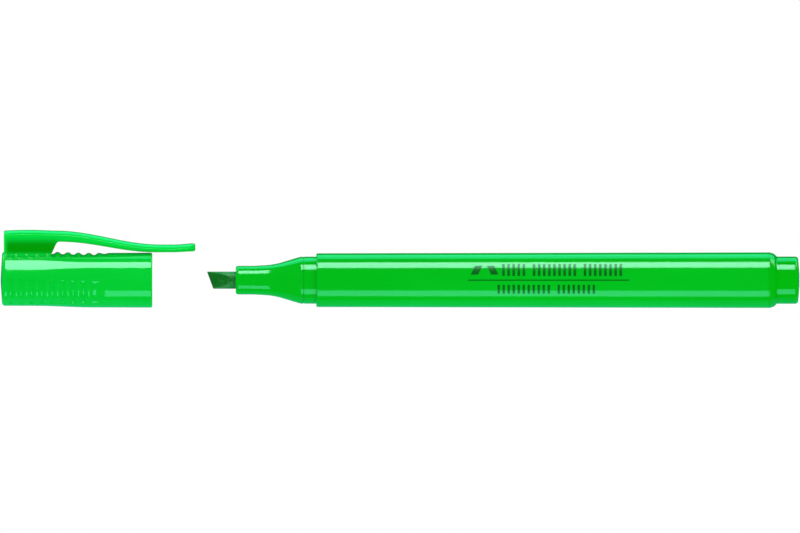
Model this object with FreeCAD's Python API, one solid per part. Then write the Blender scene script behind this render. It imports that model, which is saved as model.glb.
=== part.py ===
"""Slim capped highlighter pen, drawn with its cap pulled off and lying in line with it.

+X runs from the cap to the end plug, +Z is up, and the clip is on top. The origin is under the
middle of the whole object, on the surface that the barrel lies on. All lengths are millimetres.
Every piece is drawn about the X axis first, and place() then lifts it to the pen's axis.
"""
import FreeCAD, Part
import math
import os

# ---- barrel: one long moulded tube with a slight draft ----
BARREL_LENGTH = 97.6
BARREL_FRONT_R = 5.8
BARREL_DRAFT = 0.2
BARREL_WALL = 0.9
BARREL_RIM_ROUND = 0.25

# ---- front section: collar, flare and nozzle, pressed into the barrel ----
COLLAR_STEP = 0.72
COLLAR_LENGTH = 3.2
RING_GROOVE_TO_BARREL = 2.7
RING_GROOVE_WIDTH = 0.2
RING_GROOVE_DEPTH = 0.12
FLARE_ROUND = 5.0
FLARE_LENGTH = 6.3
NOZZLE_TAPER = 0.34
NOZZLE_TAPER_LENGTH = 4.0
NOZZLE_WALL = 1.22
NOZZLE_LENGTH = 3.9
NOZZLE_RIM_ROUND = 0.6
SECTION_SKIRT_LENGTH = 11.0
SECTION_SKIRT_WALL = 0.86
SECTION_WALL = 1.3

# ---- nib: fibre rod with a chisel end ----
NIB_R = 1.85
NIB_PROJECTION = 6.2
NIB_TAIL_IN_RESERVOIR = 7.0
NIB_TAIL_POINT = 2.0
NIB_TAIL_POINT_R = 0.9
NIB_SLANT_DEG = 20.0
NIB_FACET_LENGTH = 5.3
NIB_EDGE_THICKNESS = 1.0

# ---- ink reservoir and the film round it ----
RESERVOIR_START = 1.0
FILM_THICKNESS = 0.12

# ---- end plug: bevelled flange with a post that the cap fits on ----
PLUG_FLANGE_LENGTH = 1.7
PLUG_BEVEL_STEP = 0.1
POST_OVER_COLLAR = 0.02
POST_LENGTH = 4.95
POST_ROUND = 1.0
PLUG_SKIRT_LENGTH = 6.0
PLUG_WALL = 1.1
PLUG_RIB_THICKNESS = 1.0
PLUG_RIB_LENGTH = 12.6
PLUG_RIB_INSET = 0.6

# ---- cap ----
CAP_AIR_SPACE = 5.9
CAP_WALL = 0.78
CAP_DRAFT = 0.07
CAP_END_ROUND = 1.1
CAP_END_WALL = 1.3
CAP_MOUTH_ROUND = 0.25
CAP_CORE_WALL = 1.55
CAP_OFF_DISTANCE = 35.4

# ---- grip grooves: three panels of short scalloped grooves round the cap ----
GROOVE_COUNT = 9
GROOVE_PITCH = 2.245
GROOVE_FIRST = 2.2
GROOVE_WIDTH = 1.5
GROOVE_DEPTH = 0.42
PANEL_ANGLES = (90.0, 210.0, 330.0)
PANEL_HALF_ANGLE_END = 36.0
PANEL_HALF_ANGLE_MOUTH = 28.0

# ---- clip: root block on the cap, and the sprung arm (stations run from the cap's closed end) ----
CLIP_WIDTH = 4.6
CLIP_TIP_ROUND = 2.2
CLIP_ROOT_START = 0.7
CLIP_ROOT_FOOT = 10.9
CLIP_SHOULDER = 11.6
CLIP_SPLIT = 12.1
CLIP_HEIGHT = 4.85
CLIP_ROOT_CROWN = 0.15
CLIP_ROOT_WEB = 3.2
CLIP_ROOT_THICKNESS = 2.45
CLIP_CONTACT_PAST_MOUTH = 1.95
CLIP_CONTACT_FLAT = 2.6
CLIP_CONTACT_THICKNESS = 1.68
CLIP_OVERHANG = 9.3
CLIP_TIP_THICKNESS = 1.75
CLIP_TIP_LIFT = 0.2
CLIP_SPANS = 5

# ---- inner cap: soft thimble that seals on the nozzle (depths run from the cap's mouth) ----
INNER_CAP_PAST_SEAL = 0.9
INNER_CAP_WALL = 0.7
INNER_CAP_LEAD = 1.2
INNER_CAP_LEAD_OPENING = 0.23
INNER_CAP_END_WALL = 0.9
INNER_CAP_FLANGE_LENGTH = 1.6
INNER_CAP_FLANGE_STEP = 0.4
NIB_TO_INNER_CAP = 1.0

# ---- clearances ----
CAP_FIT = 0.04
SEAL_FIT = 0.03
PRESS_FIT = 0.01
NIB_FIT = 0.02
TURN_GAP = 0.05
CLIP_REST_GAP = 0.1
SPLIT_GAP = 0.04

# ---- radii that follow from the ones above ----
BARREL_REAR_R = BARREL_FRONT_R + BARREL_DRAFT
BORE_R = BARREL_FRONT_R - BARREL_WALL
SKIRT_R = BORE_R - PRESS_FIT
RESERVOIR_BORE_R = SKIRT_R - SECTION_SKIRT_WALL
FILM_R = RESERVOIR_BORE_R - PRESS_FIT
RESERVOIR_R = FILM_R - FILM_THICKNESS
NIB_BORE_R = NIB_R + NIB_FIT
NOZZLE_R = NIB_BORE_R + NOZZLE_WALL
NOZZLE_ROOT_R = NOZZLE_R + NOZZLE_TAPER
COLLAR_R = BARREL_FRONT_R - COLLAR_STEP
POST_R = COLLAR_R + POST_OVER_COLLAR
PLUG_BEVEL_R = POST_R + PLUG_BEVEL_STEP
CAP_BORE_R = POST_R + CAP_FIT
CAP_MOUTH_R = CAP_BORE_R + CAP_WALL
CAP_END_R = CAP_MOUTH_R - CAP_DRAFT
CAP_CORE_R = CAP_END_R - CAP_CORE_WALL
SEAL_BORE_R = NOZZLE_R + SEAL_FIT
INNER_CAP_R = SEAL_BORE_R + INNER_CAP_WALL
INNER_CAP_FLANGE_R = CAP_CORE_R + INNER_CAP_FLANGE_STEP
AXIS_HEIGHT = max(BARREL_REAR_R, CAP_MOUTH_R)

# ---- places along the pen: X = 0 is the barrel's front face until place() centres the whole ----
SECTION_LENGTH = COLLAR_LENGTH + FLARE_LENGTH + NOZZLE_TAPER_LENGTH + NOZZLE_LENGTH
NIB_TIP_X = -SECTION_LENGTH - NIB_PROJECTION
NIB_TAIL_X = RESERVOIR_START + NIB_TAIL_IN_RESERVOIR
RESERVOIR_END = BARREL_LENGTH - PLUG_RIB_LENGTH
PLUG_END = BARREL_LENGTH + PLUG_FLANGE_LENGTH + POST_LENGTH
INNER_CAP_DEPTH = SECTION_LENGTH - NOZZLE_LENGTH - INNER_CAP_PAST_SEAL
INNER_CAP_BACK_DEPTH = SECTION_LENGTH + NIB_PROJECTION + NIB_TO_INNER_CAP + INNER_CAP_END_WALL
CAP_LENGTH = INNER_CAP_BACK_DEPTH + TURN_GAP + CAP_AIR_SPACE + CAP_END_WALL
CAP_MOUTH_X = -CAP_OFF_DISTANCE
CAP_END_X = CAP_MOUTH_X - CAP_LENGTH
CENTRE_X = (CAP_END_X + PLUG_END) / 2

# ---- the clip's stations and heights over the cap's axis ----
CLIP_CONTACT = CAP_LENGTH + CLIP_CONTACT_PAST_MOUTH
CLIP_TIP = CAP_LENGTH + CLIP_OVERHANG
CLIP_ROOT_TOP = CAP_END_R + CLIP_HEIGHT
CLIP_REST_HEIGHT = CAP_MOUTH_R + CLIP_REST_GAP


def point(x, y, z):
    return FreeCAD.Vector(x, y, z)


def lathe(profile):
    """A closed outline of (x, radius) points, turned about the X axis."""
    corners = [point(x, 0, r) for x, r in profile]
    outline = Part.makePolygon(corners + corners[:1])
    return Part.Face(outline).revolve(point(0, 0, 0), point(1, 0, 0), 360)


def rod(start, end, radius):
    return Part.makeCylinder(radius, end - start, point(start, 0, 0), point(1, 0, 0))


def round_rims(solid, rounding, rims):
    """Round the circular edges that lie at each (x, radius) in rims."""
    edges = []
    for edge in solid.Edges:
        if not isinstance(edge.Curve, Part.Circle):
            continue
        for x, r in rims:
            if abs(edge.Curve.Center.x - x) < 1e-4 and abs(edge.Curve.Radius - r) < 1e-4:
                edges.append(edge)
    return solid.makeFillet(rounding, edges)


def barrel():
    tube = lathe([
        (0, BORE_R),
        (0, BARREL_FRONT_R),
        (BARREL_LENGTH, BARREL_REAR_R),
        (BARREL_LENGTH, BORE_R),
    ])
    return round_rims(tube, BARREL_RIM_ROUND, [(0, BARREL_FRONT_R)])


def front_section():
    collar_front = -COLLAR_LENGTH
    flare_front = collar_front - FLARE_LENGTH
    nozzle_root = flare_front - NOZZLE_TAPER_LENGTH
    nozzle_face = nozzle_root - NOZZLE_LENGTH
    solid = lathe([
        (nozzle_face, NIB_BORE_R),
        (nozzle_face, NOZZLE_R),
        (nozzle_root, NOZZLE_R),
        (flare_front, NOZZLE_ROOT_R),
        (collar_front, COLLAR_R),
        (0, COLLAR_R),
        (0, SKIRT_R),
        (SECTION_SKIRT_LENGTH, SKIRT_R),
        (SECTION_SKIRT_LENGTH, RESERVOIR_BORE_R),
        (RESERVOIR_START, RESERVOIR_BORE_R),
        (RESERVOIR_START, COLLAR_R - SECTION_WALL),
        (collar_front, COLLAR_R - SECTION_WALL),
        (flare_front, NIB_BORE_R),
    ])
    solid = round_rims(solid, FLARE_ROUND, [(flare_front, NOZZLE_ROOT_R), (collar_front, COLLAR_R)])
    solid = round_rims(solid, NOZZLE_RIM_ROUND, [(nozzle_face, NOZZLE_R)])
    groove_start = -RING_GROOVE_TO_BARREL - RING_GROOVE_WIDTH
    ring = rod(groove_start, -RING_GROOVE_TO_BARREL, 2 * COLLAR_R)
    core = rod(groove_start, -RING_GROOVE_TO_BARREL, COLLAR_R - RING_GROOVE_DEPTH)
    return solid.cut(ring.cut(core))


def nib_tail_outline(front):
    """The nib's round rod from front to its pointed tail, as (x, radius) points."""
    return [
        (front, 0),
        (front, NIB_R),
        (NIB_TAIL_X - NIB_TAIL_POINT, NIB_R),
        (NIB_TAIL_X, NIB_TAIL_POINT_R),
        (NIB_TAIL_X, 0),
    ]


def nib():
    """A rod whose front is ground on both sides to a blade, and then cut off at a slant."""
    block = 4 * NIB_R
    half_edge = NIB_EDGE_THICKNESS / 2
    facet_tilt = math.degrees(math.atan2(NIB_R - half_edge, NIB_FACET_LENGTH))
    cutters = []
    for side in (1, -1):
        grinder = Part.makeBox(NIB_FACET_LENGTH + block, block, block)
        grinder.translate(point(-block, 0 if side > 0 else -block, -block / 2))
        grinder.rotate(point(0, 0, 0), point(0, 0, 1), side * facet_tilt)
        grinder.translate(point(NIB_TIP_X, side * half_edge, 0))
        cutters.append(grinder)
    slant = Part.makeBox(block, block, 2 * block, point(-block, -block / 2, -block))
    slant.rotate(point(0, 0, 0), point(0, 1, 0), NIB_SLANT_DEG)
    slant.translate(point(NIB_TIP_X, 0, NIB_R))
    cutters.append(slant)
    return lathe(nib_tail_outline(NIB_TIP_X)).cut(Part.makeCompound(cutters))


def ink_reservoir():
    core = rod(RESERVOIR_START, RESERVOIR_END, RESERVOIR_R)
    return core.cut(lathe(nib_tail_outline(RESERVOIR_START)))


def reservoir_film():
    wrap = rod(RESERVOIR_START, RESERVOIR_END, FILM_R)
    return wrap.cut(rod(RESERVOIR_START, RESERVOIR_END, RESERVOIR_R))


def end_plug():
    flange_back = BARREL_LENGTH + PLUG_FLANGE_LENGTH
    skirt_front = BARREL_LENGTH - PLUG_SKIRT_LENGTH
    hollow_end = PLUG_END - PLUG_WALL
    hollow_r = SKIRT_R - PLUG_WALL
    rib_reach = RESERVOIR_R - PLUG_RIB_INSET
    shell = lathe([
        (skirt_front, hollow_r),
        (skirt_front, SKIRT_R),
        (BARREL_LENGTH, SKIRT_R),
        (BARREL_LENGTH, BARREL_REAR_R),
        (flange_back, PLUG_BEVEL_R),
        (flange_back, POST_R),
        (PLUG_END, POST_R),
        (PLUG_END, 0),
        (hollow_end, 0),
        (hollow_end, hollow_r),
    ])
    shell = round_rims(shell, POST_ROUND, [(PLUG_END, POST_R)])
    ribs = []
    for turn in (0, 90):
        spans = ((RESERVOIR_END, rib_reach), (skirt_front, hollow_r))
        for start, reach in spans:
            rib = Part.makeBox(
                hollow_end - start, 2 * reach, PLUG_RIB_THICKNESS,
                point(start, -reach, -PLUG_RIB_THICKNESS / 2))
            rib.rotate(point(0, 0, 0), point(1, 0, 0), turn)
            ribs.append(rib)
    return shell.multiFuse(ribs).removeSplitter()


def cap_station(distance):
    """X of a place on the cap, from its distance to the cap's closed end."""
    return CAP_END_X + distance


def panel_half_angle(distance):
    grip_end = GROOVE_FIRST + (GROOVE_COUNT - 1) * GROOVE_PITCH
    share = distance / grip_end
    return PANEL_HALF_ANGLE_END + share * (PANEL_HALF_ANGLE_MOUTH - PANEL_HALF_ANGLE_END)


def grip_grooves():
    """One ring-shaped cutter for each groove of each panel."""
    cutter_r = (GROOVE_WIDTH ** 2 / 4 + GROOVE_DEPTH ** 2) / (2 * GROOVE_DEPTH)
    cutters = []
    for panel in PANEL_ANGLES:
        for row in range(GROOVE_COUNT):
            distance = GROOVE_FIRST + row * GROOVE_PITCH
            half = panel_half_angle(distance)
            height = CAP_END_R - GROOVE_DEPTH + cutter_r
            circle = Part.makeCircle(cutter_r, point(cap_station(distance), height, 0), point(0, 0, 1))
            cutter = Part.Face(Part.Wire(circle))
            cutter.rotate(point(0, 0, 0), point(1, 0, 0), panel - half)
            cutters.append(cutter.revolve(point(0, 0, 0), point(1, 0, 0), 2 * half))
    return Part.makeCompound(cutters)


def clip_share(distance):
    """0 at the clip's shoulder, 1 from its contact point on."""
    return min(1.0, max(0.0, (distance - CLIP_SHOULDER) / (CLIP_CONTACT - CLIP_SHOULDER)))


def clip_top(distance):
    """Height of the clip's top line over the cap's axis: level, then easing down to the contact."""
    drop = CLIP_ROOT_TOP - CLIP_REST_HEIGHT - CLIP_CONTACT_THICKNESS
    return CLIP_ROOT_TOP - drop * (1 - math.cos(math.pi * clip_share(distance))) / 2


def clip_thickness(distance):
    return CLIP_ROOT_THICKNESS + clip_share(distance) * (CLIP_CONTACT_THICKNESS - CLIP_ROOT_THICKNESS)


def spline(points):
    curve = Part.BSplineCurve()
    curve.interpolate(points)
    return curve.toShape()


def clip_outline():
    """The arm's closed side outline: splines along its top and underside, from root to tip."""
    root = CLIP_SPLIT + SPLIT_GAP
    stations = [root + step * (CLIP_CONTACT - root) / CLIP_SPANS for step in range(CLIP_SPANS + 1)]
    stations.append(CLIP_CONTACT + CLIP_CONTACT_FLAT)
    top = [point(cap_station(s), 0, clip_top(s)) for s in stations]
    under = [point(cap_station(s), 0, clip_top(s) - clip_thickness(s)) for s in stations]
    tip_under = CLIP_REST_HEIGHT + CLIP_TIP_LIFT
    top.append(point(cap_station(CLIP_TIP), 0, tip_under + CLIP_TIP_THICKNESS))
    under.append(point(cap_station(CLIP_TIP), 0, tip_under))
    return Part.Wire([
        spline(top),
        Part.makeLine(top[-1], under[-1]),
        spline(under),
        Part.makeLine(under[0], top[0]),
    ])


def round_along(solid, rounding, direction, x):
    """Round the straight edges that run along direction and lie at x."""
    edges = []
    for edge in solid.Edges:
        ends = [vertex.Point for vertex in edge.Vertexes]
        run = ends[-1].sub(ends[0])
        straight = run.Length > 1e-6 and abs(abs(run.dot(direction)) - run.Length) < 1e-6
        if straight and abs(ends[0].x - x) < 1e-6:
            edges.append(edge)
    return solid.makeFillet(rounding, edges)


def pocket_clip():
    arm = Part.Face(clip_outline()).extrude(point(0, CLIP_WIDTH, 0))
    arm.translate(point(0, -CLIP_WIDTH / 2, 0))
    return round_along(arm, CLIP_TIP_ROUND, point(0, 0, 1), cap_station(CLIP_TIP))


def clip_root():
    """The block that carries the clip: a web on the cap with a head as wide as the arm."""
    start = cap_station(CLIP_ROOT_START)
    foot = cap_station(CLIP_ROOT_FOOT)
    split = cap_station(CLIP_SPLIT)
    head_under = CLIP_ROOT_TOP - CLIP_ROOT_THICKNESS
    buried = CAP_END_R - CAP_END_ROUND
    crown = Part.Arc(
        point(start, 0, CLIP_ROOT_TOP),
        point((start + split) / 2, 0, CLIP_ROOT_TOP + CLIP_ROOT_CROWN),
        point(split, 0, CLIP_ROOT_TOP))
    head = Part.Face(Part.Wire([
        crown.toShape(),
        Part.makeLine(point(split, 0, CLIP_ROOT_TOP), point(split, 0, head_under)),
        Part.makeLine(point(split, 0, head_under), point(start, 0, head_under)),
        Part.makeLine(point(start, 0, head_under), point(start, 0, CLIP_ROOT_TOP)),
    ])).extrude(point(0, CLIP_WIDTH, 0))
    head.translate(point(0, -CLIP_WIDTH / 2, 0))
    web = Part.Face(Part.makePolygon([
        point(start, 0, buried),
        point(start, 0, head_under),
        point(split, 0, head_under),
        point(foot, 0, CAP_END_R),
        point(foot, 0, buried),
        point(start, 0, buried),
    ])).extrude(point(0, CLIP_ROOT_WEB, 0))
    web.translate(point(0, -CLIP_ROOT_WEB / 2, 0))
    return head.fuse(web)


def cap_shell():
    step_x = CAP_MOUTH_X - INNER_CAP_DEPTH
    flange_seat = CAP_MOUTH_X - INNER_CAP_BACK_DEPTH - TURN_GAP
    flange_bore_r = INNER_CAP_FLANGE_R + TURN_GAP
    body = lathe([
        (CAP_END_X, 0),
        (CAP_END_X, CAP_END_R),
        (CAP_MOUTH_X, CAP_MOUTH_R),
        (CAP_MOUTH_X, 0),
    ])
    body = round_rims(body, CAP_END_ROUND, [(CAP_END_X, CAP_END_R)])
    body = round_rims(body, CAP_MOUTH_ROUND, [(CAP_MOUTH_X, CAP_MOUTH_R)])
    body = body.cut(grip_grooves()).fuse(clip_root())
    bore = lathe([
        (CAP_END_X + CAP_END_WALL, 0),
        (CAP_END_X + CAP_END_WALL, CAP_CORE_R),
        (flange_seat, CAP_CORE_R),
        (flange_seat, flange_bore_r),
        (step_x, flange_bore_r),
        (step_x, CAP_BORE_R),
        (CAP_MOUTH_X, CAP_BORE_R),
        (CAP_MOUTH_X, 0),
    ])
    return body.cut(bore).removeSplitter()


def inner_cap():
    mouth = CAP_MOUTH_X - INNER_CAP_DEPTH
    back = CAP_MOUTH_X - INNER_CAP_BACK_DEPTH
    return lathe([
        (back, 0),
        (back, INNER_CAP_FLANGE_R),
        (back + INNER_CAP_FLANGE_LENGTH, INNER_CAP_FLANGE_R),
        (back + INNER_CAP_FLANGE_LENGTH, INNER_CAP_R),
        (mouth, INNER_CAP_R),
        (mouth, SEAL_BORE_R + INNER_CAP_LEAD_OPENING),
        (mouth - INNER_CAP_LEAD, SEAL_BORE_R),
        (back + INNER_CAP_END_WALL, SEAL_BORE_R),
        (back + INNER_CAP_END_WALL, 0),
    ])


def place(solid):
    moved = solid.copy()
    moved.translate(point(-CENTRE_X, 0, AXIS_HEIGHT))
    return moved


PIECES = (
    barrel,
    front_section,
    nib,
    ink_reservoir,
    reservoir_film,
    end_plug,
    cap_shell,
    pocket_clip,
    inner_cap,
)

os.makedirs("parts", exist_ok=True)
for piece in PIECES:
    place(piece()).exportStep("parts/" + piece.__name__ + ".step")
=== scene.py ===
"""Looks for a slim capped highlighter: glossy fluorescent plastic, a fibre nib, and the cap off."""
import bmesh
import bpy
import math
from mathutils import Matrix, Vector


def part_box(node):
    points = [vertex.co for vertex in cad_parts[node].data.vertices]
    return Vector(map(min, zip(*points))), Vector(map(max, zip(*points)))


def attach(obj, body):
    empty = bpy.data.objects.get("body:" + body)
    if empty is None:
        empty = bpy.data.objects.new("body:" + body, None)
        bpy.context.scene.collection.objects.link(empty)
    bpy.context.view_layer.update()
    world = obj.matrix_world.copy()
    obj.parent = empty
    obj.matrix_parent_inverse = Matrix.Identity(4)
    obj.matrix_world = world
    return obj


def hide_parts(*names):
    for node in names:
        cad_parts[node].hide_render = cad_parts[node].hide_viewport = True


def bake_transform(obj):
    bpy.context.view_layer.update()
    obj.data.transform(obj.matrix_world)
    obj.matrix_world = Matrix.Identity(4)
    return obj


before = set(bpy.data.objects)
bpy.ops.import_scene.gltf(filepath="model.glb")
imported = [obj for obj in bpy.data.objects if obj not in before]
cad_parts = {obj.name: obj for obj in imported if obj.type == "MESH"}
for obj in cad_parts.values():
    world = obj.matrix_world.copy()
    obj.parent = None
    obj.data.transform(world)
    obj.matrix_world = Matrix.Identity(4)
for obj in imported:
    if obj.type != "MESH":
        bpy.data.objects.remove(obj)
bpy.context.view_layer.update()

# ---- Barrel ---------------------------------------------------------------------------------
# One long tube, injection moulded in fluorescent polypropylene. It has a slight draft, thicker at
# the back, a softly rounded front rim and a polished skin.

MM = 0.001
BARREL_DRAFT = 0.2 * MM
BARREL_WALL = 0.9 * MM
BARREL_FRONT_RIM = 0.28 * MM
CLOSE_JOINT_RIM = 0.02 * MM
TURNED_STEPS = 160
CORNER_SEGMENTS = 5
SMOOTH_ANGLE = math.radians(32)
barrel_low, barrel_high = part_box("barrel")
axis_z = (barrel_low.z + barrel_high.z) / 2
barrel_rear_r = (barrel_high.z - barrel_low.z) / 2
barrel_front_r = barrel_rear_r - BARREL_DRAFT
barrel_bore_r = barrel_front_r - BARREL_WALL


def outline_wire(bm, outline, closed):
    """A chain of (x, radius, rounding) corners above the axis, each rounded by its own amount."""
    corners = [bm.verts.new((x, 0, axis_z + r)) for x, r, rounding in outline]
    pairs = list(zip(corners, corners[1:]))
    if closed:
        pairs.append((corners[-1], corners[0]))
    for pair in pairs:
        bm.edges.new(pair)
    for corner, (x, r, rounding) in zip(corners, outline):
        if rounding <= 0:
            continue
        here = corner.co.copy()
        for edge in list(corner.link_edges):
            # a ring just past the rounding keeps the long stretch beside it evenly shaded
            share = min(0.45, 1.5 * rounding / edge.calc_length())
            bmesh.utils.edge_split(edge, corner, share)
        corner.co = here
        bmesh.ops.bevel(
            bm, geom=[corner], offset=rounding, offset_type="OFFSET", affect="VERTICES",
            segments=CORNER_SEGMENTS, profile=0.5, material=-1)


def spin_wire(bm, steps=TURNED_STEPS):
    """Spin everything in bm once round the pen's axis."""
    bmesh.ops.spin(
        bm, geom=bm.verts[:] + bm.edges[:], cent=(0, 0, axis_z), axis=(1, 0, 0),
        angle=2 * math.pi, steps=steps, use_merge=True)
    bmesh.ops.remove_doubles(bm, verts=bm.verts[:], dist=0.0005 * MM)


def as_piece(bm, name, body, material):
    """Turn bm into a smooth-shaded object that rides on body."""
    bmesh.ops.recalc_face_normals(bm, faces=bm.faces[:])
    mesh = bpy.data.meshes.new(name)
    bm.to_mesh(mesh)
    bm.free()
    mesh.shade_smooth()
    mesh.set_sharp_from_angle(angle=SMOOTH_ANGLE)
    mesh.materials.append(material)
    piece = bpy.data.objects.new(name, mesh)
    bpy.context.scene.collection.objects.link(piece)
    if body:
        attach(piece, body)
    return piece


def turned(name, outline, body, material, closed=True):
    """A piece made by spinning an outline round the pen's axis."""
    bm = bmesh.new()
    outline_wire(bm, outline, closed)
    spin_wire(bm)
    return as_piece(bm, name, body, material)


def linear(code):
    """A hex sRGB colour as linear RGBA."""
    values = [int(code[i:i + 2], 16) / 255 for i in (1, 3, 5)]
    return [v / 12.92 if v <= 0.04045 else ((v + 0.055) / 1.055) ** 2.4 for v in values] + [1]


def add(tree, kind, settings=None, links=None):
    """Add a node, set its properties or inputs by name, and link outputs into its inputs."""
    node = tree.nodes.new("ShaderNode" + kind)
    for key, value in (settings or {}).items():
        if isinstance(key, str) and hasattr(node, key):
            setattr(node, key, value)
        else:
            node.inputs[key].default_value = value
    for key, output in (links or {}).items():
        tree.links.new(output, node.inputs[key])
    return node


def new_material(name):
    """An empty material and its node tree."""
    material = bpy.data.materials.new(name)
    material.use_nodes = True
    material.node_tree.nodes.clear()
    return material, material.node_tree


PLASTIC_IOR = 1.49
GLOSS = 0.09
FLOW_MM = 9.0
PEEL_MM = 2.4
MARKS_MM = 0.22


def moulded_polypropylene(name, bright, deep, shaded_colour):
    """Polished moulded polypropylene: a deep even colour with faint flow marks drawn out along
    the mould, an orange peel a few millimetres across, and fine handling marks in the gloss. Its
    colour is painted darker where a mesh marks painted shade, which stands in for the shade under
    overhangs and along lower edges."""
    material, tree = new_material(name)
    place = add(tree, "TexCoord").outputs["Object"]
    drawn_out = add(tree, "Mapping", {"Scale": (0.25, 1, 1)}, {"Vector": place}).outputs["Vector"]
    flow = add(tree, "TexNoise", {"Scale": 1 / (FLOW_MM * MM), "Detail": 3, "Roughness": 0.5},
               {"Vector": drawn_out}).outputs["Fac"]
    colour = add(tree, "ValToRGB", {}, {"Fac": flow})
    colour.color_ramp.elements[0].position = 0.3
    colour.color_ramp.elements[0].color = linear(deep)
    colour.color_ramp.elements[1].position = 0.7
    colour.color_ramp.elements[1].color = linear(bright)
    # Painted shade: a per-vertex mark mixes in a darker colour where shade falls, not where the
    # plastic changes.
    shade_mask = add(tree, "Attribute", {"attribute_name": "painted_shade_amount"}).outputs["Fac"]
    body = add(tree, "MixRGB", {"Color2": linear(shaded_colour)},
               {"Fac": shade_mask, "Color1": colour.outputs["Color"]})
    peel = add(tree, "TexNoise", {"Scale": 1 / (PEEL_MM * MM), "Detail": 2},
               {"Vector": drawn_out}).outputs["Fac"]
    marks = add(tree, "TexNoise", {"Scale": 1 / (MARKS_MM * MM), "Detail": 4},
                {"Vector": place}).outputs["Fac"]
    gloss_map = add(tree, "MapRange", {
        "From Min": 0.3, "From Max": 0.7, "To Min": GLOSS - 0.03, "To Max": GLOSS + 0.05,
    }, {"Value": marks}).outputs["Result"]
    waves = add(tree, "Bump", {"Strength": 0.05, "Distance": 0.02 * MM}, {"Height": peel})
    skin = add(tree, "Bump", {"Strength": 0.06, "Distance": 0.004 * MM},
               {"Height": marks, "Normal": waves.outputs["Normal"]})
    shader = add(tree, "BsdfPrincipled", {
        "IOR": PLASTIC_IOR,
        "Specular Tint": (0.5, 1.0, 0.94, 1.0),
        "Sheen Weight": 0.25,
        "Sheen Roughness": 0.35,
        "Sheen Tint": (0.02, 1.0, 0.55, 1.0),
        "Subsurface Weight": 0.12,
        "Subsurface Radius": (0.2, 1.0, 0.3),
        "Subsurface Scale": 1.2 * MM,
    }, {
        "Base Color": body.outputs["Color"],
        "Roughness": gloss_map,
        "Normal": skin.outputs["Normal"],
    })
    add(tree, "OutputMaterial", {}, {"Surface": shader.outputs["BSDF"]})
    return material


# The third colour is painted shade, shown only where a mesh marks it, and these meshes don't.
body_plastic = moulded_polypropylene(
    "moulded_polypropylene_body", "#00C81E", "#00BE14", "#008C08")

barrel = turned("barrel_tube", [
    (barrel_low.x, barrel_bore_r, 0),
    (barrel_low.x, barrel_front_r, BARREL_FRONT_RIM),
    (barrel_high.x, barrel_rear_r, CLOSE_JOINT_RIM),
    (barrel_high.x, barrel_bore_r, 0),
], "pen", body_plastic)
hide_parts("barrel")

# ---- Barrel print ---------------------------------------------------------------------------
# Plain pad print in dark green ink on the side that faces the viewer: a thin rule with a row of
# plain strokes above and below it. The ink film stands a hundredth of a millimetre proud.

INK_PROUD = 0.012 * MM
INK_DEPTH = 0.03 * MM
RULE_START = 32.7 * MM
RULE_LENGTH = 34.8 * MM
RULE_WIDTH = 0.24 * MM
BLOCK_WIDTH = 1.6 * MM
BLOCK_FOOT = 1.2 * MM
BLOCK_TOP = 3.1 * MM
BLOCK_LEAN = 0.5
STROKE_GRID_MM = 1.5


def barrel_r(x):
    """The barrel's outer radius at x, with its draft."""
    share = (x - barrel_low.x) / (barrel_high.x - barrel_low.x)
    return barrel_front_r + share * (barrel_rear_r - barrel_front_r)


def print_stroke(bm, x0, x1, h0, h1, lean=0.0):
    """One printed stroke between x0 and x1, from height h0 to h1 over the axis, on the barrel."""
    across = max(1, round((x1 - x0) / (STROKE_GRID_MM * MM)))
    made = bmesh.ops.create_grid(bm, x_segments=across, y_segments=4, size=0.5)["verts"]
    for vertex in made:
        x = x0 + (vertex.co.x + 0.5) * (x1 - x0)
        h = h0 + (vertex.co.y + 0.5) * (h1 - h0)
        x += lean * (h - h0)
        r = barrel_r(x) + INK_PROUD
        turn = math.asin(h / r)
        vertex.co = (x, -r * math.cos(turn), axis_z + r * math.sin(turn))
    faces = list({face for vertex in made for face in vertex.link_faces})
    skin = bmesh.ops.extrude_face_region(bm, geom=faces)["geom"]
    for vertex in (item for item in skin if isinstance(item, bmesh.types.BMVert)):
        inward = Vector((0, -vertex.co.y, axis_z - vertex.co.z)).normalized()
        vertex.co += inward * INK_DEPTH


def print_row(bm, start, h0, h1, groups, pitch, stroke):
    """A row of plain upright strokes; groups says how many make up each group."""
    x = start
    for group in groups:
        for _ in range(group):
            print_stroke(bm, x, x + stroke, h0, h1)
            x += pitch
        x += pitch


bm = bmesh.new()
rule_x = barrel_low.x + RULE_START
print_stroke(bm, rule_x, rule_x + RULE_LENGTH, -RULE_WIDTH / 2, RULE_WIDTH / 2)
for block_x, lean in ((rule_x + 0.6 * MM, BLOCK_LEAN), (rule_x + 5.0 * MM, -BLOCK_LEAN)):
    print_stroke(bm, block_x, block_x + BLOCK_WIDTH, BLOCK_FOOT, BLOCK_TOP, lean)
print_row(bm, rule_x + 7.4 * MM, 0.9 * MM, 3.5 * MM, (5, 9, 8), 1.1 * MM, 0.56 * MM)
print_row(bm, rule_x + 6.4 * MM, -2.9 * MM, -1.0 * MM, (11, 8), 1.08 * MM, 0.5 * MM)

# Pad printing ink is thin and dries a little less glossy than the plastic under it.
print_ink, tree = new_material("pad_printing_ink")
ink_place = add(tree, "TexCoord").outputs["Object"]
ink_cover = add(tree, "TexNoise", {"Scale": 1 / (0.35 * MM), "Detail": 3}, {"Vector": ink_place})
ink_colour = add(tree, "ValToRGB", {}, {"Fac": ink_cover.outputs["Fac"]})
ink_colour.color_ramp.elements[0].color = linear("#005A08")
ink_colour.color_ramp.elements[1].color = linear("#007616")
ink_shader = add(tree, "BsdfPrincipled", {
    "Roughness": 0.25, "IOR": 1.45, "Specular Tint": (0.35, 1.0, 0.6, 1.0),
}, {"Base Color": ink_colour.outputs["Color"]})
add(tree, "OutputMaterial", {}, {"Surface": ink_shader.outputs["BSDF"]})
as_piece(bm, "barrel_print", "pen", print_ink)

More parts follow.
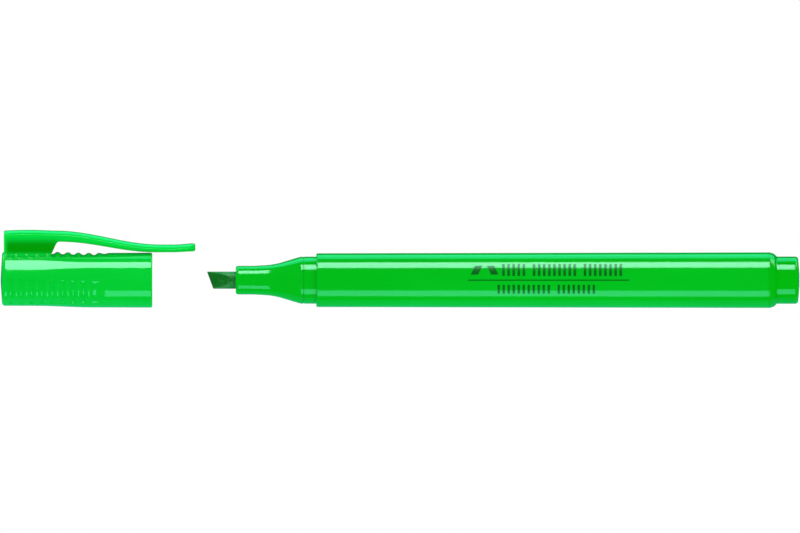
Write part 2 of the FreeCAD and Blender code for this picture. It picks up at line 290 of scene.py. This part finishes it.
# ---- Front section --------------------------------------------------------------------------
# Moulded in the same plastic and pressed into the barrel up to its collar. A fine ring marks the
# end of the collar, and the flare runs down to the nozzle that grips the nib.

section_low, section_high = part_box("front_section")
COLLAR_STEP = 0.72 * MM
COLLAR_LENGTH = 3.2 * MM
FLARE_LENGTH = 6.3 * MM
FLARE_FOOT = 0.35 * MM
FLARE_TOP = 0.3 * MM
TAPER_LENGTH = 4.0 * MM
NOZZLE_R = 3.09 * MM
NOZZLE_ROOT_R = 3.33 * MM
NOZZLE_ROUND = 0.65 * MM
NIB_BORE_R = 1.87 * MM
RING_FROM_BARREL = 2.85 * MM
RING_WIDTH = 0.2 * MM
RING_DEPTH = 0.13 * MM
RING_WALL = 0.03 * MM
SKIRT_WALL = 0.86 * MM
SEAT_R = 3.78 * MM
SEAT_DEPTH = 1.0 * MM
collar_r = barrel_front_r - COLLAR_STEP
collar_x = barrel_low.x - COLLAR_LENGTH
flare_x = collar_x - FLARE_LENGTH
ring_x = barrel_low.x - RING_FROM_BARREL
skirt_r = barrel_bore_r - 0.01 * MM
reservoir_bore_r = skirt_r - SKIRT_WALL

front_section = turned("front_section_shell", [
    (section_low.x, NIB_BORE_R, 0.12 * MM),
    (section_low.x, NOZZLE_R, NOZZLE_ROUND),
    (flare_x - TAPER_LENGTH, NOZZLE_R, 0.3 * MM),
    (flare_x + FLARE_FOOT, NOZZLE_ROOT_R, 1.8 * MM),
    (collar_x - FLARE_TOP, collar_r - 0.02 * MM, 1.2 * MM),
    (ring_x, collar_r, 0.05 * MM),
    (ring_x + RING_WALL, collar_r - RING_DEPTH, 0),
    (ring_x + RING_WIDTH - RING_WALL, collar_r - RING_DEPTH, 0),
    (ring_x + RING_WIDTH, collar_r, 0.05 * MM),
    (barrel_low.x, collar_r, 0),
    (barrel_low.x, skirt_r, 0),
    (section_high.x, skirt_r, 0.2 * MM),
    (section_high.x, reservoir_bore_r, 0),
    (barrel_low.x + SEAT_DEPTH, reservoir_bore_r, 0),
    (barrel_low.x + SEAT_DEPTH, SEAT_R, 0),
    (collar_x, SEAT_R, 0),
    (flare_x, NIB_BORE_R, 0),
], "pen", body_plastic)
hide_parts("front_section")

# ---- Nib ------------------------------------------------------------------------------------
# A rod of bonded polyester fibres soaked in ink. Its front is ground on both sides to a blade and
# cut off at a slant, and the ground faces are darker and a little furry at their edges.

nib_low, nib_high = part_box("nib")
NIB_R = 1.85 * MM
NIB_FACET_LENGTH = 5.3 * MM
NIB_EDGE = 1.0 * MM
NIB_SLANT = math.radians(20)
NIB_EDGE_ROUND = 0.16 * MM
NIB_TAIL = 2.0 * MM
NIB_TAIL_R = 0.9 * MM
NIB_STOCK = 1.0 * MM
NIB_STEPS = 96
FACET_EDGE = math.radians(12)
INK_PATCH_MM = 1.9


def bonded_fibre(name, ink, soaked, dry, thread_mm, sheen):
    """Bonded polyester fibre: fine parallel threads along the rod, unevenly soaked with ink. The
    threads are drawn a few times coarser than real ones, so that they show."""
    material, tree = new_material(name)
    place = add(tree, "TexCoord").outputs["Object"]
    along = add(tree, "Mapping", {"Scale": (0.06, 1, 1)}, {"Vector": place}).outputs["Vector"]
    threads = add(tree, "TexNoise", {"Scale": 1 / (thread_mm * MM), "Detail": 4, "Roughness": 0.6},
                  {"Vector": along}).outputs["Fac"]
    patches = add(tree, "TexNoise", {"Scale": 1 / (INK_PATCH_MM * MM), "Detail": 3},
                  {"Vector": place}).outputs["Fac"]
    thread_colour = add(tree, "ValToRGB", {}, {"Fac": threads})
    thread_colour.color_ramp.elements[0].position = 0.34
    thread_colour.color_ramp.elements[0].color = linear(soaked)
    thread_colour.color_ramp.elements[1].position = 0.68
    thread_colour.color_ramp.elements[1].color = linear(dry)
    cover = add(tree, "MapRange", {
        "From Min": 0.38, "From Max": 0.62, "To Min": 0.1, "To Max": 0.85,
    }, {"Value": patches}).outputs["Result"]
    colour = add(tree, "MixRGB", {"Color2": linear(ink)},
                 {"Fac": cover, "Color1": thread_colour.outputs["Color"]})
    rough = add(tree, "MapRange", {"To Min": 0.3, "To Max": 0.5}, {"Value": threads})
    lift = add(tree, "Bump", {"Strength": 0.35, "Distance": 0.04 * MM}, {"Height": threads})
    shader = add(tree, "BsdfPrincipled", {
        "IOR": 1.4,
        "Specular Tint": (0.3, 1.0, 0.5, 1.0),
        "Sheen Weight": sheen,
        "Sheen Roughness": 0.4,
    }, {
        "Base Color": colour.outputs["Color"],
        "Roughness": rough.outputs["Result"],
        "Normal": lift.outputs["Normal"],
    })
    add(tree, "OutputMaterial", {}, {"Surface": shader.outputs["BSDF"]})
    return material


nib_fibre = bonded_fibre(
    "bonded_polyester_nib", "#0E7C28", "#086018", "#44A458", thread_mm=0.16, sheen=0.0)
nib_ground = bonded_fibre(
    "ground_polyester_nib", "#006A10", "#004E06", "#209A30", thread_mm=0.16, sheen=0.0)


def cut_away(bm, point, normal):
    """Cut bm by a plane, throw away the side that normal points to, and close the cut with a
    face in the ground finish."""
    cut = bmesh.ops.bisect_plane(
        bm, geom=bm.verts[:] + bm.edges[:] + bm.faces[:], dist=0.0001 * MM,
        plane_co=point, plane_no=normal, clear_outer=True)["geom_cut"]
    rim = [item for item in cut if isinstance(item, bmesh.types.BMEdge)]
    for face in bmesh.ops.contextual_create(bm, geom=rim)["faces"]:
        face.material_index = 1


bm = bmesh.new()
outline_wire(bm, [
    (nib_low.x - NIB_STOCK, 0, 0),
    (nib_low.x - NIB_STOCK, NIB_R, 0),
    (nib_high.x - NIB_TAIL, NIB_R, 0),
    (nib_high.x, NIB_TAIL_R, 0),
    (nib_high.x, 0, 0),
], False)
spin_wire(bm, NIB_STEPS)
facet_tilt = math.atan2(NIB_R - NIB_EDGE / 2, NIB_FACET_LENGTH)
for side in (1, -1):
    cut_away(bm, (nib_low.x, side * NIB_EDGE / 2, axis_z),
             (-math.sin(facet_tilt), side * math.cos(facet_tilt), 0))
cut_away(bm, (nib_low.x, 0, axis_z + NIB_R), (-math.cos(NIB_SLANT), 0, -math.sin(NIB_SLANT)))
ground = [edge for edge in bm.edges if len(edge.link_faces) == 2
          and edge.calc_face_angle() > FACET_EDGE and edge.verts[0].co.x < section_low.x]
bmesh.ops.bevel(bm, geom=ground, offset=NIB_EDGE_ROUND, offset_type="OFFSET", affect="EDGES",
                segments=3, profile=0.5, material=-1)
bmesh.ops.triangulate(bm, faces=[face for face in bm.faces if len(face.verts) > 4])
nib = as_piece(bm, "chisel_nib", "pen", nib_fibre)
nib.data.materials.append(nib_ground)
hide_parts("nib")

# ---- Ink reservoir --------------------------------------------------------------------------
# A fibre rod in a wrap of clear film, shut inside the barrel. The CAD solids carry on as they
# are, and only take their finishes.

reservoir_fibre = bonded_fibre(
    "bonded_reservoir_fibre", "#1FC24A", "#139B35", "#66E08A", thread_mm=0.3, sheen=0.1)

# Clear polypropylene film: thin, glossy and a little creased where it wraps the rod.
film, tree = new_material("clear_polypropylene_film")
film_place = add(tree, "TexCoord").outputs["Object"]
film_creases = add(tree, "TexNoise", {"Scale": 1 / (3.0 * MM), "Detail": 3}, {"Vector": film_place})
film_bump = add(tree, "Bump", {"Strength": 0.3, "Distance": 0.05 * MM},
                {"Height": film_creases.outputs["Fac"]})
film_shader = add(tree, "BsdfPrincipled", {
    "Base Color": linear("#D6F5DC"),
    "Roughness": 0.12,
    "IOR": PLASTIC_IOR,
    "Transmission Weight": 0.8,
}, {"Normal": film_bump.outputs["Normal"]})
add(tree, "OutputMaterial", {}, {"Surface": film_shader.outputs["BSDF"]})
for node, material in (("ink_reservoir", reservoir_fibre), ("reservoir_film", film)):
    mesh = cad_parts[node].data
    mesh.materials.clear()
    mesh.materials.append(material)

# ---- End plug -------------------------------------------------------------------------------
# Moulded plug pressed into the back of the barrel: a bevelled flange flush with the barrel, then
# a round-ended post that the cap fits on when the pen is in use.

FLANGE_LENGTH = 1.7 * MM
PLUG_SKIRT_LENGTH = 6.0 * MM
PLUG_WALL = 1.1 * MM
POST_DOME = 0.3 * MM
POST_DIMPLE_R = 1.2 * MM
POST_DIMPLE_DEPTH = 0.15 * MM
plug_end_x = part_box("end_plug")[1].x
post_r = collar_r + 0.02 * MM
flange_back = barrel_high.x + FLANGE_LENGTH
plug_hollow_r = skirt_r - PLUG_WALL
plug_skirt_x = barrel_high.x - PLUG_SKIRT_LENGTH

# The third colour is painted shade, shown only where a mesh marks it, and this mesh doesn't.
plug_plastic = moulded_polypropylene(
    "moulded_polypropylene_plug", "#00C20A", "#00B806", "#008C08")

end_plug = turned("end_plug_moulding", [
    (plug_skirt_x, plug_hollow_r, 0),
    (plug_skirt_x, skirt_r, 0.2 * MM),
    (barrel_high.x, skirt_r, 0),
    (barrel_high.x, barrel_rear_r, CLOSE_JOINT_RIM),
    (barrel_high.x + 0.35 * MM, barrel_rear_r - 0.01 * MM, 0.15 * MM),
    (barrel_high.x + 1.23 * MM, barrel_rear_r - 0.34 * MM, 0.2 * MM),
    (flange_back, post_r + 0.06 * MM, 0.12 * MM),
    (flange_back + 0.1 * MM, post_r, 0.05 * MM),
    (plug_end_x - POST_DOME, post_r, 0.6 * MM),
    (plug_end_x, POST_DIMPLE_R, 0.1 * MM),
    (plug_end_x - POST_DIMPLE_DEPTH, POST_DIMPLE_R - 0.1 * MM, 0.05 * MM),
    (plug_end_x - POST_DIMPLE_DEPTH, 0, 0),
    (plug_end_x - PLUG_WALL, 0, 0),
    (plug_end_x - PLUG_WALL, plug_hollow_r, 0.4 * MM),
], "pen", plug_plastic)
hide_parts("end_plug")

# ---- Cap ------------------------------------------------------------------------------------
# Moulded in the same plastic, its colour painted a little brighter: painted glow for the light that
# shines through its thin wall. It's round at its mouth and grows into three soft lobes at its domed
# closed end, and each lobe has a panel of short grooves that the fingers grip.

CAP_STEPS = 240
CAP_RINGS = 240
CAP_WALL = 0.78 * MM
CAP_CLEARANCE = 0.04 * MM
CAP_DRAFT = 0.07 * MM
CAP_CORE_WALL = 1.55 * MM
CAP_END_WALL = 1.3 * MM
CAP_DOME = 0.35 * MM
CAP_DOME_ROUND = 0.6 * MM
CAP_MOUTH_ROUND = 0.4 * MM
CAP_PLAIN_FROM = 24 * MM
SEAL_CLEARANCE = 0.05 * MM
PANELS = (90, 210, 330)
TOP_GROOVES = 10
SIDE_GROOVES = 9
GROOVE_PITCH = 2.245 * MM
GROOVE_FIRST = 2.2 * MM
GROOVE_WIDTH = 1.62 * MM
GROOVE_DEPTH = 0.45 * MM
LAST_GROOVE_SHARE = 0.45
SIDE_GROOVE_DEPTH = 0.34 * MM
SIDE_LAST_FLANK = 2.8 * MM
PANEL_HALF = 37
PANEL_NARROWING = 9
LOBE_RISE = 0.32 * MM
LOBES_LEVEL_TO = 7.5 * MM
LOBES_GONE_AT = 20.0 * MM
cap_low, cap_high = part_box("cap_shell")
inner_low, inner_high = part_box("inner_cap")
cap_bore_r = post_r + CAP_CLEARANCE
cap_mouth_r = cap_bore_r + CAP_WALL
cap_end_r = cap_mouth_r - CAP_DRAFT
cap_core_r = cap_end_r - CAP_CORE_WALL
seal_flange_r = cap_core_r + 0.4 * MM
seal_recess_r = seal_flange_r + SEAL_CLEARANCE


def smooth(value):
    """A ramp from 0 to 1 that starts and ends level."""
    value = min(1.0, max(0.0, value))
    return value * value * (3 - 2 * value)


def grip_depth(distance, angle):
    """How far the cap's skin lies below its plain radius, at a distance from the closed end and
    an angle in degrees round the axis, with 90 at the clip."""
    off_centre = min(abs((angle - panel + 180) % 360 - 180) for panel in PANELS)
    on_top = abs(angle - 90) < 60
    grip_end = GROOVE_FIRST + (TOP_GROOVES - 1) * GROOVE_PITCH
    half = PANEL_HALF - PANEL_NARROWING * distance / grip_end
    last_row = (TOP_GROOVES if on_top else SIDE_GROOVES) - 1
    row = min(last_row, max(0, round((distance - GROOVE_FIRST) / GROOVE_PITCH)))
    from_groove = distance - GROOVE_FIRST - row * GROOVE_PITCH
    if on_top:
        share = LAST_GROOVE_SHARE if row == last_row else 1.0
        groove = GROOVE_DEPTH * share * max(0.0, 1 - (2 * from_groove / GROOVE_WIDTH) ** 2)
    else:
        flank = SIDE_LAST_FLANK if row == last_row and from_groove > 0 else GROOVE_PITCH / 2
        wave = min(1.0, abs(from_groove) / flank)
        groove = SIDE_GROOVE_DEPTH * (1 + math.cos(math.pi * wave)) / 2
    lobe = LOBE_RISE * smooth((LOBES_GONE_AT - distance) / (LOBES_GONE_AT - LOBES_LEVEL_TO))
    lobe *= math.cos(3 * math.radians(angle - 90))
    overlap, fade = (2, 10) if on_top else (1, 8)
    return groove * smooth((half + overlap - off_centre) / fade) - lobe


def outer_length(edge):
    """An edge's length if it's on the outside of the cap's outline, and 0 if it's inside."""
    outside = edge.verts[0].co.z - axis_z > cap_bore_r + 0.2 * MM
    return edge.calc_length() * outside


# Painted glow: a brighter copy of the body's green stands in for light shining through the thin cap
# wall. The third colour is painted shade.
cap_plastic = moulded_polypropylene(
    "moulded_polypropylene_cap", "#04D83A", "#00CE2E", "#00A000")

bm = bmesh.new()
outline_wire(bm, [
    (cap_low.x, 0, 0),
    (cap_low.x + CAP_DOME, cap_end_r, CAP_DOME_ROUND),
    (cap_high.x, cap_mouth_r, CAP_MOUTH_ROUND),
    (cap_high.x, cap_bore_r, 0.1 * MM),
    (inner_high.x, cap_bore_r, 0.1 * MM),
    (inner_high.x, seal_recess_r, 0),
    (inner_low.x - SEAL_CLEARANCE, seal_recess_r, 0),
    (inner_low.x - SEAL_CLEARANCE, cap_core_r, 0),
    (cap_low.x + CAP_END_WALL, cap_core_r, 0.5 * MM),
    (cap_low.x + CAP_END_WALL, 0, 0),
], False)
outer_wall = max(bm.edges, key=outer_length)
bmesh.ops.subdivide_edges(bm, edges=[outer_wall], cuts=CAP_RINGS)
spin_wire(bm, CAP_STEPS)
for vertex in bm.verts:
    out = Vector((0, vertex.co.y, vertex.co.z - axis_z))
    distance = vertex.co.x - cap_low.x
    on_end = distance < 1.0 * MM and out.length < cap_end_r
    on_wall = out.length >= cap_end_r - 0.02 * MM
    if distance > CAP_PLAIN_FROM or not (on_wall or on_end):
        continue
    angle = math.degrees(math.atan2(out.z, out.y)) % 360
    share = smooth(out.length / cap_end_r * 2 - 1)
    vertex.co -= out.normalized() * grip_depth(distance, angle) * share
cap = as_piece(bm, "cap_tube", "cap", cap_plastic)
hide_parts("cap_shell")

# ---- Clip -----------------------------------------------------------------------------------
# The clip is moulded in one with the cap. Its head stands on a narrow web that flares into the
# cap, and the arm eases down to touch the cap at its mouth, then lifts to a rounded tip.

CLIP_WIDTH = 4.6 * MM
CLIP_HEIGHT = 4.7 * MM
CLIP_ROOT_THICKNESS = 2.45 * MM
CLIP_CONTACT_THICKNESS = 1.68 * MM
CLIP_TIP_THICKNESS = 1.75 * MM
CLIP_TIP_FROM_CONTACT = 2.6 * MM
CLIP_TIP_LIFT = 0.2 * MM
CLIP_HEAD_CROWN = 0.16 * MM
CLIP_CROWN_R = 3.1 * MM
CLIP_EDGE_ROUND = 0.14 * MM
CLIP_TIP_ROUND = 2.1 * MM
CLIP_TIP_SOFTEN = 0.45 * MM
CLIP_HEAD_SOFTEN = 0.35 * MM
CROWN_POINTS = 9
EDGE_POINTS = 6
SIDE_POINTS = 25
WEB_HALF = 1.9 * MM
WEB_FLARE = 0.35 * MM
WEB_SLOPE = 2.2
WEB_FILLET = 0.8 * MM
UNDER_SHADE = 0.5
clip_low, clip_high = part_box("pocket_clip")
clip_top_z = clip_low.z + CLIP_HEIGHT
clip_start = cap_low.x + 0.7 * MM
clip_shoulder = cap_low.x + 11.6 * MM
clip_split = cap_low.x + 12.1 * MM
clip_contact = cap_high.x + 1.95 * MM
clip_rest_z = axis_z + cap_mouth_r + 0.1 * MM
web_front = clip_split + 0.5 * MM
web_root_z = axis_z + 5.0 * MM
web_head_z = axis_z + 8.9 * MM
web_neck_z = axis_z + 7.1 * MM
web_flare_z = axis_z + 6.7 * MM


def clip_line(x):
    """The arm's top and underside at x: level, easing down to the contact, then lifting."""
    share = min(1.0, max(0.0, (x - clip_shoulder) / (clip_contact - clip_shoulder)))
    drop = clip_top_z - clip_rest_z - CLIP_CONTACT_THICKNESS
    top = clip_top_z - drop * (1 - math.cos(math.pi * share)) / 2
    thickness = CLIP_ROOT_THICKNESS + share * (CLIP_CONTACT_THICKNESS - CLIP_ROOT_THICKNESS)
    tip_from = clip_contact + CLIP_TIP_FROM_CONTACT
    past = smooth((x - tip_from) / (clip_high.x - tip_from))
    lift = past * CLIP_TIP_LIFT
    along = min(1.0, (x - clip_start) / (clip_split - clip_start))
    crowned = math.sin(math.pi * along)
    if along > 0.5:
        crowned = (1 - math.cos(2 * math.pi * along)) / 2
    under = top - thickness + lift
    top += lift + past * (CLIP_TIP_THICKNESS - CLIP_CONTACT_THICKNESS) + CLIP_HEAD_CROWN * crowned
    return top, under


def round_off(distance, rounding):
    """How much of its full size a rounded end keeps, at a distance from its very end."""
    if distance >= rounding:
        return 1.0
    return math.sqrt(max(0.0, 1 - (1 - max(0.0, distance) / rounding) ** 2))


def clip_half_section(x):
    """Half the clip's section at x as (y, z) points, from the middle of its top round to the
    middle of its underside: a crowned top, a small edge, and a side that draws in to the web."""
    top, under = clip_line(x)
    at_tip = round_off(clip_high.x - x, CLIP_TIP_SOFTEN)
    at_head = round_off(x - clip_start, CLIP_HEAD_SOFTEN)
    softened = (1 - at_tip) * CLIP_TIP_SOFTEN + (1 - at_head) * CLIP_HEAD_SOFTEN
    half = CLIP_WIDTH / 2 * max(0.12, round_off(clip_high.x - x, CLIP_TIP_ROUND))
    half -= (1 - at_head) * CLIP_HEAD_SOFTEN
    top -= softened
    back = max(0.0, web_front - x)
    swept = min(back, WEB_FILLET)
    foot = max(web_root_z, under - WEB_SLOPE * (back - swept + swept ** 2 / (2 * WEB_FILLET)))
    if x > clip_split:
        foot += (1 - at_tip) * CLIP_TIP_SOFTEN
    edge = min(CLIP_EDGE_ROUND, half * 0.4)
    reach = min(0.9, (half - edge) / (CLIP_CROWN_R - edge))
    turn = math.asin(reach)
    points = []
    for i in range(CROWN_POINTS):
        a = turn * i / (CROWN_POINTS - 1)
        points.append((CLIP_CROWN_R * math.sin(a), top - CLIP_CROWN_R * (1 - math.cos(a))))
    centre = (CLIP_CROWN_R - edge) * math.cos(turn) + top - CLIP_CROWN_R
    for i in range(1, EDGE_POINTS):
        a = turn + (math.pi / 2 - turn) * i / (EDGE_POINTS - 1)
        points.append((half - edge + edge * math.sin(a), centre + edge * math.cos(a)))
    over_web = smooth((clip_split + 1.2 * MM - x) / (1.6 * MM))
    for i in range(1, SIDE_POINTS):
        z = centre + (foot + edge - centre) * i / (SIDE_POINTS - 1)
        drawn = over_web * smooth((web_head_z - z) / (web_head_z - web_neck_z))
        flare = max(0.0, (web_flare_z - z) / (web_flare_z - web_root_z)) ** 2
        points.append((half - drawn * (half - WEB_HALF) + WEB_FLARE * flare, z))
    last = points[-1][0] - edge
    for i in range(1, EDGE_POINTS - 1):
        a = math.pi / 2 * i / (EDGE_POINTS - 2)
        points.append((last + edge * math.cos(a), foot + edge * (1 - math.sin(a))))
    points.append((last / 2, foot))
    points.append((0, foot))
    return points


def place_section(verts, x):
    """Set a ring of the clip's vertices, in order from its top, on the section at x. The web's
    sides below the head and the arm's lower edge are marked for painted shade."""
    half = clip_half_section(x)
    around = half + [(-y, z) for y, z in half[-2:0:-1]]
    foot = half[-1][1]
    along_web = smooth((x - clip_start) / (1.0 * MM))
    along_web *= smooth((clip_split + 2.5 * MM - x) / (3.5 * MM))
    along_arm = smooth((x - web_front) / (1.0 * MM))
    for vertex, (y, z) in zip(verts, around):
        vertex.co = (x, y, z)
        # Painted shade: the web's sides darken below the head's overhang and above the cap, and the
        # arm darkens along its lower edge.
        below_head = smooth((web_head_z + 0.8 * MM - z) / (2.3 * MM))
        above_cap = smooth((z - web_root_z - 0.3 * MM) / (1.0 * MM))
        lower_edge = smooth((foot + 0.6 * MM - z) / (0.5 * MM))
        vertex[painted_shade_amount] = max(
            along_web * below_head * above_cap, UNDER_SHADE * along_arm * lower_edge)


def clip_stations():
    """Where along the clip its sections lie: close together where its outline turns."""
    quarter = math.pi / 2
    head = [CLIP_HEAD_SOFTEN * (1 - math.cos(quarter * i / 6)) for i in range(7)]
    tip = [CLIP_TIP_ROUND * (1 - math.sin(quarter * i / 14)) for i in range(1, 15)]
    stations = [clip_start + distance for distance in head]
    stations += [clip_start + i * MM for i in range(1, 9)]
    stations += [web_front - 2.4 * MM + i * 0.15 * MM for i in range(20)]
    plain_start = web_front + 0.8 * MM
    plain_end = clip_high.x - CLIP_TIP_ROUND
    stations += [plain_start + i * (plain_end - plain_start) / 36 for i in range(37)]
    stations += [clip_high.x - distance for distance in tip]
    return stations


def next_ring(bm, ring, ring_edges):
    """Extrude the open end of the clip, and return the new ring in the old one's order."""
    made = bmesh.ops.extrude_edge_only(bm, edges=ring_edges)["geom"]
    fresh = {item for item in made if isinstance(item, bmesh.types.BMVert)}
    edges = [item for item in made
             if isinstance(item, bmesh.types.BMEdge) and len(item.link_faces) == 1]
    verts = []
    for vertex in ring:
        beside = [edge.other_vert(vertex) for edge in vertex.link_edges]
        verts.append(next(other for other in beside if other in fresh))
    return verts, edges


bm = bmesh.new()
# Each vertex carries how much painted shade its colour takes.
painted_shade_amount = bm.verts.layers.float.new("painted_shade_amount")
ring_size = 2 * (len(clip_half_section(clip_start)) - 1)
first_ring = bmesh.ops.create_circle(
    bm, cap_ends=False, segments=ring_size, radius=1.0)["verts"]
first_x, *other_stations = clip_stations()
place_section(first_ring, first_x)
ring, ring_edges = first_ring, bm.edges[:]
for x in other_stations:
    ring, ring_edges = next_ring(bm, ring, ring_edges)
    place_section(ring, x)
bm.faces.new(first_ring)
bm.faces.new(ring)

# Painted glow: a brighter copy of the green stands in for light through the thin arm and from
# above. The third colour is the painted shade on the web and under the arm.
clip_plastic = moulded_polypropylene(
    "moulded_polypropylene_clip", "#02E648", "#00DC3C", "#00A600")
clip = as_piece(bm, "clip_moulding", None, clip_plastic)
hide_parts("pocket_clip")
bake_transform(clip)

# ---- Inner cap ------------------------------------------------------------------------------
# A soft thimble of natural polyethylene, pressed deep into the cap. Its mouth has a lead-in and
# closes round the nozzle, so that the nib doesn't dry out.

SEAL_WALL = 0.7 * MM
SEAL_FLANGE_LENGTH = 1.6 * MM
SEAL_END_WALL = 0.9 * MM
SEAL_LEAD_IN = 1.2 * MM
seal_bore_r = NOZZLE_R + 0.03 * MM
seal_outer_r = seal_bore_r + SEAL_WALL

# Natural polyethylene is milky and waxy, less glossy than the polypropylene round it.
seal_plastic, tree = new_material("moulded_polyethylene_seal")
seal_place = add(tree, "TexCoord").outputs["Object"]
seal_haze = add(tree, "TexNoise", {"Scale": 1 / (1.2 * MM), "Detail": 3}, {"Vector": seal_place})
seal_colour = add(tree, "ValToRGB", {}, {"Fac": seal_haze.outputs["Fac"]})
seal_colour.color_ramp.elements[0].color = linear("#C8D8C6")
seal_colour.color_ramp.elements[1].color = linear("#E2EDE0")
seal_bump = add(tree, "Bump", {"Strength": 0.1, "Distance": 0.02 * MM},
                {"Height": seal_haze.outputs["Fac"]})
seal_shader = add(tree, "BsdfPrincipled", {
    "Roughness": 0.38,
    "IOR": 1.51,
    "Subsurface Weight": 0.5,
    "Subsurface Radius": (1.0, 1.0, 0.9),
    "Subsurface Scale": 1.0 * MM,
}, {"Base Color": seal_colour.outputs["Color"], "Normal": seal_bump.outputs["Normal"]})
add(tree, "OutputMaterial", {}, {"Surface": seal_shader.outputs["BSDF"]})

inner_cap = turned("inner_cap_thimble", [
    (inner_low.x, 0, 0),
    (inner_low.x, seal_flange_r, 0.15 * MM),
    (inner_low.x + SEAL_FLANGE_LENGTH, seal_flange_r, 0.15 * MM),
    (inner_low.x + SEAL_FLANGE_LENGTH, seal_outer_r, 0.1 * MM),
    (inner_high.x, seal_outer_r, 0.2 * MM),
    (inner_high.x, seal_bore_r + 0.23 * MM, 0.1 * MM),
    (inner_high.x - SEAL_LEAD_IN, seal_bore_r, 0.3 * MM),
    (inner_low.x + SEAL_END_WALL, seal_bore_r, 0.4 * MM),
    (inner_low.x + SEAL_END_WALL, 0, 0),
], "cap_seal", seal_plastic, closed=False)
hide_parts("inner_cap")

# ---- Studio ---------------------------------------------------------------------------------
# A pale matt floor under the pen and an even white surround. Long softboxes above and below draw
# one bright and one soft streak along the plastic, and smaller ones at its ends light it there.

FLOOR_SIZE = 3.0
SOFTBOX_DISTANCE = 0.6
CAMERA_ABOVE_AXIS = 2.95 * MM
FRAME_WIDTH = 0.17264
bm = bmesh.new()
bmesh.ops.create_grid(bm, x_segments=1, y_segments=1, size=FLOOR_SIZE / 2)
floor_mesh = bpy.data.meshes.new("floor")
bm.to_mesh(floor_mesh)
bm.free()
floor = bpy.data.objects.new("floor", floor_mesh)
bpy.context.scene.collection.objects.link(floor)
floor_material, tree = new_material("matt_white_floor")
floor_shader = add(tree, "BsdfPrincipled", {
    "Base Color": linear("#FDFDFD"), "Roughness": 0.9, "Specular IOR Level": 0.0})
add(tree, "OutputMaterial", {}, {"Surface": floor_shader.outputs["BSDF"]})
floor_mesh.materials.append(floor_material)
floor.visible_glossy = False
floor.visible_diffuse = False
floor.visible_shadow = False

world = bpy.data.worlds.new("white_surround")
bpy.context.scene.world = world
world.use_nodes = True
surround = world.node_tree.nodes["Background"]
surround.inputs["Color"].default_value = linear("#FFFFFF")
surround.inputs["Strength"].default_value = 1.0
world.cycles_visibility.glossy = False


def softbox(name, elevation, azimuth, length, spread, brightness, colour=(1, 1, 1)):
    """A long light that faces the pen's middle from an elevation and azimuth. It spreads over so
    many degrees of height as the pen sees it, and only shows in the gloss of the plastic."""
    data = bpy.data.lights.new(name, "AREA")
    data.color = colour
    data.shape = "RECTANGLE"
    data.size = length
    data.size_y = 2 * SOFTBOX_DISTANCE * math.tan(math.radians(spread / 2))
    data.energy = brightness * math.pi * data.size * data.size_y
    light = bpy.data.objects.new(name, data)
    bpy.context.scene.collection.objects.link(light)
    rise, turn = math.radians(elevation), math.radians(azimuth)
    level = math.cos(rise)
    out = Vector((math.sin(turn) * level, -math.cos(turn) * level, math.sin(rise)))
    light.location = Vector((0, 0, axis_z)) + out * SOFTBOX_DISTANCE
    light.rotation_euler = out.to_track_quat("Z", "Y").to_euler()
    light.visible_camera = False
    light.visible_diffuse = False


softbox("strip_above", 67.5, 0, 0.29, 27.5, 11.2)
softbox("strip_below", -58.5, 0, 0.32, 27, 3.3, (0.45, 1, 1))
softbox("panel_behind", 60, 180, 1.2, 33, 3.2, (0.1, 1, 0.65))
softbox("panel_behind_below", -45, 180, 1.2, 80, 0.4, (0.1, 1, 0.9))
softbox("side_front", 42, -108, 0.14, 22, 4.0)
softbox("side_back", 46.6, 96.5, 0.2, 28, 4.0)

camera_data = bpy.data.cameras.new("camera")
camera_data.type = "ORTHO"
camera_data.ortho_scale = FRAME_WIDTH
camera = bpy.data.objects.new("camera", camera_data)
bpy.context.scene.collection.objects.link(camera)
camera.location = (0, -1.0, axis_z + CAMERA_ABOVE_AXIS)
camera.rotation_euler = (math.radians(90), 0, 0)
bpy.context.scene.camera = camera
bpy.context.scene.view_settings.view_transform = "Standard"
